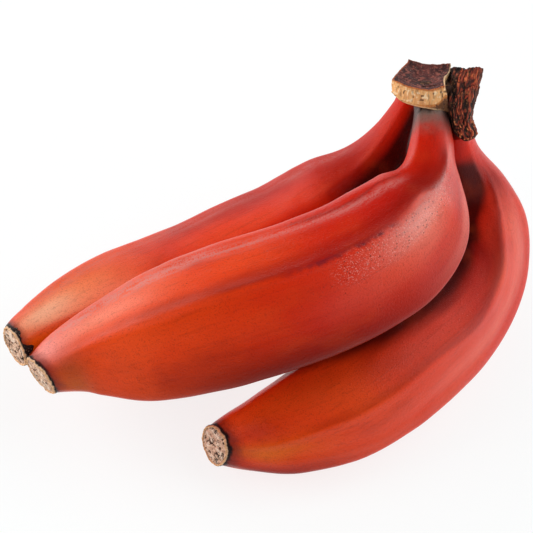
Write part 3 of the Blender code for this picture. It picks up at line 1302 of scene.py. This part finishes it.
@dataclass
class Studio:
    """A white floor, large soft lights and a camera that looks down on the hand."""

    distance: float = 486.4
    aim_off: tuple = (-6.4, -3.0, -2.6)
    elevation: float = 50.8
    roll: float = 9.86
    lens: float = 100.0
    sensor: float = 36.0

    # How far the camera sees, half the floor's width and the point that the lights face, in metres.
    REACH = 20.0
    HALF_FLOOR = 4.0
    LIT_POINT = (0, 0, 0.04)

    WHITE = (1.0, 1.0, 1.0, 1.0)
    FLOOR_GREY = (0.2, 0.22, 0.22, 1.0)
    FLOOR_GLOW = 0.8
    SKY_GLOW = 0.16

    LIGHTS = (
        Softbox("left", (-0.84, -0.15, 0.66), (0.9, 0.8), 6.0, mirrored=False),
        Softbox("left_front", (-0.6, -0.65, 0.7), (0.8, 0.8), 1.6, mirrored=False),
        Softbox("left_low", (-0.93, 0.42, 0.25), (0.9, 0.45), 3.4),
        Softbox("left_back", (-0.45, 0.9, 0.2), (0.9, 0.35), 2.0),
        Softbox("right_back", (0.6, 0.8, 0.22), (0.7, 0.4), 3.4),
        Softbox("right", (1.0, 0.0, 0.25), (0.8, 0.45), 2.7),
        Softbox("upper_right", (0.7, 0.1, 0.9), (0.9, 0.9), 5.0),
    )

    def camera(self, middle: Array) -> None:
        """Puts the camera at its elevation, rolled about its own line of sight.

        Args:
            middle: the middle of the object's box, in metres.
        """
        data = bpy.data.cameras.new("camera")
        data.lens = self.lens
        data.sensor_width = self.sensor
        data.clip_end = self.REACH
        camera = bpy.data.objects.new("camera", data)
        camera.rotation_mode = "QUATERNION"
        e, roll = math.radians(self.elevation), math.radians(self.roll)
        forward = np.array([0.0, math.cos(e), -math.sin(e)])
        level_up = np.array([0.0, math.sin(e), math.cos(e)])
        right = math.cos(roll) * np.array([1.0, 0.0, 0.0]) + math.sin(roll) * level_up
        up = np.cross(right, forward)
        camera.rotation_quaternion = Matrix(np.array([right, up, -forward]).T.tolist()).to_quaternion()
        camera.location = middle + (np.array(self.aim_off) - self.distance * forward) * MM
        bpy.context.scene.collection.objects.link(camera)
        bpy.context.scene.camera = camera

    def floor(self, height: float) -> None:
        """A grey floor with a light of its own, so that it looks white and the shadows on it stay pale.

        Args:
            height: how high it lies, in metres.
        """
        mesh = bpy.data.meshes.new("floor")
        ways = ((-1, -1), (1, -1), (1, 1), (-1, 1))
        corners = [(x * self.HALF_FLOOR, y * self.HALF_FLOOR, height) for x, y in ways]
        mesh.from_pydata(corners, [], [(0, 1, 2, 3)])
        floor = bpy.data.objects.new("floor", mesh)
        bpy.context.scene.collection.objects.link(floor)
        n = Nodes("floor")
        n.shader.inputs["Base Color"].default_value = self.FLOOR_GREY
        n.shader.inputs["Roughness"].default_value = 0.9
        n.shader.inputs["Specular IOR Level"].default_value = 0.1
        n.shader.inputs["Emission Color"].default_value = self.WHITE
        n.shader.inputs["Emission Strength"].default_value = self.FLOOR_GLOW
        mesh.materials.append(n.material)
        floor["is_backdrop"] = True

    def set_up(self, low: Array, high: Array) -> None:
        """Builds the whole setting round the object's box.

        Args:
            low: the box's lowest corner, in metres.
            high: its highest corner.
        """
        self.camera((low + high) / 2)
        self.floor(float(low[2]))
        for light in self.LIGHTS:
            light.hang(self.LIT_POINT)
        world = bpy.data.worlds.new("world")
        world.use_nodes = True
        sky = world.node_tree.nodes["Background"]
        sky.inputs["Color"].default_value = self.WHITE
        sky.inputs["Strength"].default_value = self.SKY_GLOW
        world.cycles_visibility.glossy = False
        bpy.context.scene.world = world
        bpy.context.scene.view_settings.view_transform = "Standard"


# --------------------------------------------------------------------------------------------- the hand


def middle_fruit() -> Banana:
    """The fruit in the middle, with a grey and black collar, a worn side with painted glints and a dark
    crease.
    """
    return Banana(
        name="banana_middle",
        root=(37.6, 42.2, 83.1),
        stalk=(0.21, -0.86, -0.47),
        lean=(-0.97, -0.24, -0.01),
        length=168.0,
        girth=1.03,
        bend=(0, 7, 37, 59, 72, 75, 77, 64),
        sweep=(0, -6, 0, 9, 4),
        scar_facing=(-0.626, -0.767, -0.142),
        ridges=[
            *straight(24),
            Ridge((58, 77, 93, 96, 98, 98, 94), 0.6, (0.08, 0.14, 0.2, 0.26, 0.4, 0.7, 0.95)),
            Ridge((132, 157, 157, 150), crest=0.3),
            *straight(229, 300),
        ],
        swells=[
            Swell(0.83, 10, 0.06, 60, 0.9),
            Swell(0.17, 174, 0.05, 36, 1.9),
            Swell(0.10, 22, 0.03, 30, -1.0),
            Swell(0.17, 22, 0.03, 30, 0.5),
        ],
        # Painted shade: the facet above the main ridge, and a thin dark line along the top ridge.
        shades=[
            Shade(
                (0.1, 0.16, 0.2, 0.26, 0.4, 0.6, 0.68),
                low=(67, 83, 94, 98, 99, 99, 99),
                high=(88, 104, 116, 119, 116, 110, 106),
                share=0.62,
                colour=(124, 8, 4),
                soft=(2.5, 14.0),
            ),
            Shade(
                (0.2, 0.3, 0.4, 0.5),
                low=(136, 141, 145, 149),
                high=(139, 144, 148, 151),
                share=0.6,
                colour=(132, 12, 8),
                soft=(1.5, 1.5),
            ),
        ],
        tints_and_painted_light=[
            # Painted shade: the upper facet and the shoulder darker red.
            TintAndPaintedLight(0.25, 120, 0.16, 26, (190, 20, 6), 0.8),
            TintAndPaintedLight(0.17, 108, 0.07, 20, (116, 6, 4), 0.6),
            # Painted highlight: the salmon sheen on the lower facet.
            TintAndPaintedLight(0.34, 70, 0.10, 20, (250, 84, 48), 0.5),
            TintAndPaintedLight(0.26, 74, 0.075, 18, (240, 118, 94), 0.7),
            TintAndPaintedLight(0.27, 84, 0.075, 10, (250, 164, 150), 0.7),
            TintAndPaintedLight(0.42, 62, 0.08, 20, (224, 84, 70), 0.4),
            # Painted shade, then a painted highlight, along the right edge.
            TintAndPaintedLight(0.17, 41, 0.07, 7, (176, 34, 22), 0.6),
            TintAndPaintedLight(0.19, 26, 0.08, 8, (240, 138, 122), 0.5),
            TintAndPaintedLight(0.62, 128, 0.16, 20, (246, 84, 24), 0.3),
            # Painted highlight near the tip.
            TintAndPaintedLight(0.87, 130, 0.1, 17, (254, 152, 124), 0.75),
            # Painted shade on the underside, over the front fruit.
            TintAndPaintedLight(0.55, 16, 0.3, 28, (84, 6, 3), 0.9),
            # Orange towards the tip, partly painted light.
            TintAndPaintedLight(0.84, 70, 0.07, 60, (252, 90, 28), 0.5),
            TintAndPaintedLight(0.965, 72, 0.05, 30, (178, 62, 4), 0.9),
            TintAndPaintedLight(0.97, 34, 0.05, 28, (190, 82, 8), 0.85),
            # Painted highlights: near the tip and on the neck's right facet.
            TintAndPaintedLight(0.98, 132, 0.05, 30, (250, 160, 150), 0.7),
            TintAndPaintedLight(0.09, 50, 0.04, 18, (240, 140, 130), 0.5),
            TintAndPaintedLight(0.74, 102, 0.16, 7, (150, 40, 8), 0.5),
        ],
        # Pale bloom along the ridges, partly a painted highlight along the top crest and beside the neck's
        # ridge.
        bloom_and_sheen=[
            Dust((129, 136, 142, 147, 148, 144), 5, 0.16, 1.0, 0.42, (0.2, 0.3, 0.4, 0.5, 0.7, 0.95)),
            Dust((144, 152, 156, 150), 12, 0.6, 1.0, 0.2),
            Dust((55, 73, 89, 93), 6, 0.06, 0.38, 0.4, (0.08, 0.14, 0.2, 0.3)),
        ],
        creases=[Dust((98, 99, 99), 2.4, 0.26, 0.56, 0.36, (0.3, 0.4, 0.6))],
        # A worn patch with pores, where painted glints also lie.
        worn_and_glinting=[Dust((60, 82, 86, 84), 14, 0.08, 0.5, 1.0, (0.1, 0.24, 0.36, 0.5))],
        stub=7.0,
        collar=1.0,
        faceting=0.9,
        seed=11,
    )


def rear_fruit() -> Banana:
    """The slimmest fruit, behind the other two."""
    return Banana(
        name="banana_rear",
        root=(31.1, 55.2, 70.6),
        stalk=(-0.23, -0.37, -0.90),
        lean=(-0.86, -0.35, 0.37),
        length=177.0,
        girth=0.87,
        bend=(0, 10, 23, 47, 58, 81, 84, 75),
        sweep=(0, 5, -8, -23, -31),
        scar_facing=(-0.714, -0.700, 0.012),
        ridges=[
            *straight(0, 72),
            Ridge((145, 145, 145, 147), crest=0.25),
            Ridge((215, 215, 215, 215), crest=0.2),
            *straight(288),
        ],
        swells=[
            Swell(0.15, 215, 0.06, 45, 0.8),
            Swell(0.90, 225, 0.08, 45, 0.9),
            Swell(0.62, 215, 0.12, 40, -0.4),
            Swell(0.11, 35, 0.055, 50, 4.0),
            Swell(0.58, 0, 0.12, 30, -1.0),
            Swell(0.36, 205, 0.08, 40, -1.0),
        ],
        tints_and_painted_light=[
            # Painted highlights on the tip's upper face.
            TintAndPaintedLight(0.88, 176, 0.11, 30, (255, 150, 96), 0.75),
            TintAndPaintedLight(0.94, 168, 0.06, 24, (255, 204, 168), 0.7),
            TintAndPaintedLight(0.97, 108, 0.07, 34, (230, 116, 10), 0.9),
            TintAndPaintedLight(0.45, 160, 0.3, 22, (244, 80, 40), 0.45),
            # Painted highlight.
            TintAndPaintedLight(0.82, 156, 0.07, 18, (252, 150, 120), 0.4),
            TintAndPaintedLight(0.62, 148, 0.1, 20, (206, 40, 12), 0.5),
            # Painted shade along one side and round the neck.
            TintAndPaintedLight(0.42, 196, 0.2, 18, (150, 20, 4), 0.6),
            TintAndPaintedLight(0.2, 110, 0.16, 50, (170, 14, 4), 0.6),
            TintAndPaintedLight(0.15, 165, 0.09, 60, (134, 16, 10), 0.5),
        ],
        # Painted shade on the side that faces the middle fruit's neck.
        shades=[
            Shade((0.0, 0.05, 0.13, 0.22), (20,) * 4, (98, 106, 124, 134), soft=(9.0, 12.0)),
            Shade((0.0, 0.05, 0.13, 0.22), (20,) * 4, (116, 124, 142, 150), 0.5, soft=(9.0, 16.0)),
        ],
        bloom_and_sheen=[Dust((200, 205, 205, 205), 8, 0.1, 1.0, 0.2)],
        # A faint worn patch, with faint painted glints.
        worn_and_glinting=[Dust((165, 165, 165, 165), 25, 0.1, 0.5, 0.3)],
        stub=9.0,
        seed=23,
    )


def front_fruit() -> Banana:
    """The fruit in front, the most strongly bent, with a long side painted in shade."""
    return Banana(
        name="banana_front",
        root=(48.1, 41.2, 74.6),
        stalk=(0.27, 0.02, -0.96),
        lean=(-0.41, -0.90, -0.14),
        length=174.0,
        girth=1.05,
        bend=(0, -5, 26, 78, 103, 93, 102, 98),
        sweep=(0, -13, 4, 24, 46),
        scar_facing=(-0.745, -0.616, 0.256),
        ridges=[
            Ridge((60, 72, 80, 90), crest=0.25),
            Ridge((88, 104, 121, 131, 129, 127, 118), 0.7, (0.08, 0.15, 0.22, 0.3, 0.5, 0.75, 0.95)),
            *straight(196, 265, 333),
        ],
        swells=[
            Swell(0.135, 75, 0.05, 40, 2.8),
            Swell(0.27, 74, 0.09, 45, -1.0),
            Swell(0.40, 74, 0.14, 45, -1.4),
            Swell(0.53, 70, 0.19, 40, -3.0),
            Swell(0.74, 68, 0.14, 40, -1.5),
            Swell(0.88, 75, 0.06, 50, 0.8),
            Swell(0.87, 220, 0.07, 40, 0.8),
            Swell(0.72, 340, 0.2, 32, -2.6),
        ],
        tints_and_painted_light=[
            TintAndPaintedLight(0.93, 108, 0.07, 15, (228, 104, 16), 0.85),
            # Painted light on the facet beside the ridge.
            TintAndPaintedLight(0.45, 100, 0.25, 20, (240, 84, 50), 0.5),
            # Painted shade on the underside near the tip.
            TintAndPaintedLight(0.9, 68, 0.12, 16, (160, 22, 8), 0.75),
            TintAndPaintedLight(0.93, 150, 0.05, 24, (176, 20, 6), 0.75),
            # Painted highlights: near the tip, on the upper flats and along the right strip.
            TintAndPaintedLight(0.88, 178, 0.14, 36, (252, 90, 26), 0.6),
            TintAndPaintedLight(0.33, 132, 0.09, 14, (250, 110, 80), 0.5),
            TintAndPaintedLight(0.55, 150, 0.16, 18, (226, 98, 84), 0.35),
            TintAndPaintedLight(0.24, 92, 0.08, 22, (244, 138, 118), 0.35),
            # Painted shade: the inner side under the middle fruit, the neck, and the underside near the tip.
            TintAndPaintedLight(0.25, 165, 0.16, 30, (150, 10, 4), 0.8),
            TintAndPaintedLight(0.11, 88, 0.05, 24, (120, 14, 10), 0.65),
            TintAndPaintedLight(0.92, 60, 0.07, 12, (100, 20, 14), 0.7),
        ],
        # Painted shade: the neck's side under the crown, a thin line along the ridge, and the long side
        # under the middle fruit.
        shades=[
            Shade((0.05, 0.08, 0.11, 0.18, 0.25), (100, 102, 108, 138, 152), (220,) * 5, 0.9),
            Shade(
                (0.08, 0.15, 0.22, 0.3, 0.5, 0.75, 0.84),
                low=(88, 104, 121, 131, 129, 127, 124),
                high=(94, 110, 128, 138, 135, 132, 128),
                share=0.42,
                colour=(110, 12, 8),
                soft=(2.0, 6.0),
            ),
            Shade((0.2, 0.3, 0.6, 0.7, 0.86), (146, 158, 162, 178, 204), (250,) * 5, 0.93),
        ],
        # A faint worn patch, with faint painted glints.
        worn_and_glinting=[Dust((150, 150, 150, 150), 30, 0.3, 0.8, 0.3)],
        stub=4.0,
        seed=37,
    )


def keep(thing: bpy.types.Object, material: bpy.types.Material, slot: str, *nodes: str) -> None:
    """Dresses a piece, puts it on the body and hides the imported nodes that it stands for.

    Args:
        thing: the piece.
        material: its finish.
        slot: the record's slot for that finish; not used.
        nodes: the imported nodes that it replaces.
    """
    thing.data.materials.append(material)
    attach(thing, BODY)
    if nodes:
        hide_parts(*nodes)
    log.info("%s: %d faces", thing.name, len(thing.data.polygons))


def main() -> None:
    """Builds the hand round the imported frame, then the setting."""
    logging.basicConfig(level=logging.INFO, format="%(message)s")
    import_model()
    cad_box = [list(corner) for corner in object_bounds()]

    peel = PeelFinish().material()
    scar = WoodyFinish("blossom_scar", (60, 36, 26), (236, 210, 176), crumbs=0.5, cracks=0.5, run=(1, 1, 1))
    cut = WoodyFinish("cut_wood", (40, 24, 24), (196, 160, 140), crumbs=0.35, cracks=0.55)
    bark = WoodyFinish("bark", (20, 13, 12), (190, 128, 80), crumbs=0.3, cracks=0.7, depth=0.4)
    scar, cut, bark = (finish.material() for finish in (scar, cut, bark))

    for fruit in (middle_fruit(), rear_fruit(), front_fruit()):
        keep(fruit.build_peel(), peel, "peel", fruit.name)
        keep(fruit.build_scar(), scar, "blossom_scar")
    frame = CrownFrame()
    keep(CrownHeart(frame).build(), bark, "crown", "crown")
    keep(CutBlock(frame).build(), cut, "crown")
    keep(Bark(frame).build(), bark, "crown")

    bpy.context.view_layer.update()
    Studio().set_up(np.array(cad_box[0]), np.array(cad_box[1]))


if __name__ == "__main__":
    main()
